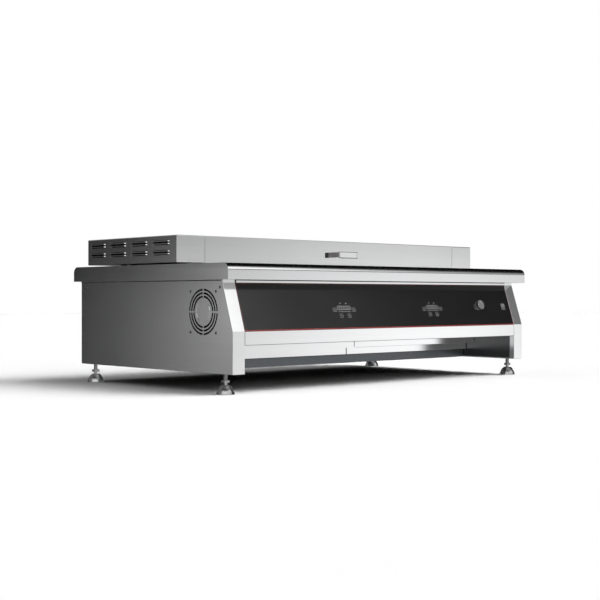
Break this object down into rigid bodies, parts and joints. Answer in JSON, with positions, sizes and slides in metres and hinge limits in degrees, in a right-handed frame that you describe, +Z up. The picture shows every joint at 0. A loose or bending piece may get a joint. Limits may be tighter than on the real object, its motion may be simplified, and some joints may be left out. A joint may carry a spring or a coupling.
{
  "type": "counter-top electric grill",
  "caption": "Long low counter-top electric grill: stainless cabinet on levelling feet, sloped black touch panel, louvred housing with hinged cover, pull-out drip trays and fans.",
  "frame": {"origin": "on the table, under the middle of the whole outline", "axes": "+X along the front from left to right, +Y to the back, +Z up"},
  "size_m": [1.2, 0.7222, 0.407],
  "materials": {
    "stainless": "brushed",
    "dark_zinc": "satin",
    "panel_glass": "black back-printed, polished",
    "red_trim": "satin",
    "black_plastic": "moulded",
    "grey_plastic": "moulded",
    "rubber": "matte",
    "grid_iron": "seasoned",
    "circuit_board": "solder mask",
    "mineral_wool": "fibrous",
    "bush_brass": "turned",
    "element_tube": "heat-tinted",
    "foot_steel": "plated",
    "terminal_white": "moulded"
  },
  "bodies": {
    "cabinet": {"worktop": "stainless", "side_panel_left": "stainless", "side_panel_right": "stainless", "back_panel": "stainless", "base_panel": "dark_zinc", "front_rail": "stainless", "compartment_floor": "dark_zinc", "divider_panel": "dark_zinc", "panel_frame": "stainless", "control_glass": "panel_glass", "panel_trim": "red_trim", "touch_board_left": "circuit_board", "touch_board_right": "circuit_board", "rotary_switch": "black_plastic", "rocker_housing": "grey_plastic", "control_board": "circuit_board", "contactors": "black_plastic", "terminal_block": "terminal_white", "cable_gland": "black_plastic", "fan_frame_left": "black_plastic", "fan_frame_right": "black_plastic", "well_pan_left": "dark_zinc", "well_pan_right": "dark_zinc", "well_insulation_left": "mineral_wool", "well_insulation_right": "mineral_wool", "heater_left": "element_tube", "heater_right": "element_tube", "probe_left": "foot_steel", "probe_right": "foot_steel", "grid_left": "grid_iron", "grid_right": "grid_iron", "tray_runners": "dark_zinc", "end_block_left": "stainless", "end_block_right": "stainless", "housing_spacers": "rubber", "hinge_pins": "foot_steel", "fan_screws": "foot_steel", "panel_screws": "foot_steel", "foot_sockets": "foot_steel"},
    "cover": {"cover": "stainless", "cover_insulation": "mineral_wool", "cover_liner": "stainless", "cover_bumpers": "rubber", "handle": "stainless", "handle_spacers": "black_plastic", "handle_screws": "foot_steel", "hinge_bushes": "bush_brass"},
    "knob": {"knob": "black_plastic", "knob_cap": "stainless", "knob_shaft": "foot_steel"},
    "rocker": {"rocker": "grey_plastic"},
    "tray_left": {"drip_tray_left": "stainless"},
    "tray_right": {"drip_tray_right": "stainless"},
    "fan_left": {"impeller_left": "black_plastic"},
    "fan_right": {"impeller_right": "black_plastic"},
    "foot_fl": {"foot_front_left": "foot_steel"},
    "foot_fr": {"foot_front_right": "foot_steel"},
    "foot_bl": {"foot_back_left": "foot_steel"},
    "foot_br": {"foot_back_right": "foot_steel"}
  },
  "joints": [
    {"name": "cover_hinge", "type": "hinge", "parent": "cabinet", "child": "cover", "pos_m": [0, 0.2832, 0.3425], "axis": [-1, 0, 0], "range_deg": [0, 92]},
    {"name": "knob_turn", "type": "hinge", "parent": "cabinet", "child": "knob", "pos_m": [0.377, -0.33288, 0.21366], "axis": [0, -0.9511, 0.309], "range_deg": [-270, 0]},
    {"name": "rocker_tilt", "type": "hinge", "parent": "cabinet", "child": "rocker", "pos_m": [0.512, -0.33002, 0.21273], "axis": [1, 0, 0], "range_deg": [0, 16]},
    {"name": "tray_left_slide", "type": "slide", "parent": "cabinet", "child": "tray_left", "axis": [0, -1, 0], "range_m": [0, 0.32]},
    {"name": "tray_right_slide", "type": "slide", "parent": "cabinet", "child": "tray_right", "axis": [0, -1, 0], "range_m": [0, 0.32]},
    {"name": "fan_left_spin", "type": "hinge", "parent": "cabinet", "child": "fan_left", "pos_m": [-0.56, -0.2318, 0.2065], "axis": [1, 0, 0], "continuous": true},
    {"name": "fan_right_spin", "type": "hinge", "parent": "cabinet", "child": "fan_right", "pos_m": [0.56, -0.2318, 0.2065], "axis": [1, 0, 0], "continuous": true},
    {"name": "foot_fl_level", "type": "slide", "parent": "cabinet", "child": "foot_fl", "axis": [0, 0, -1], "range_m": [0, 0.012]},
    {"name": "foot_fr_level", "type": "slide", "parent": "cabinet", "child": "foot_fr", "axis": [0, 0, -1], "range_m": [0, 0.012]},
    {"name": "foot_bl_level", "type": "slide", "parent": "cabinet", "child": "foot_bl", "axis": [0, 0, -1], "range_m": [0, 0.012]},
    {"name": "foot_br_level", "type": "slide", "parent": "cabinet", "child": "foot_br", "axis": [0, 0, -1], "range_m": [0, 0.012]}
  ]
}
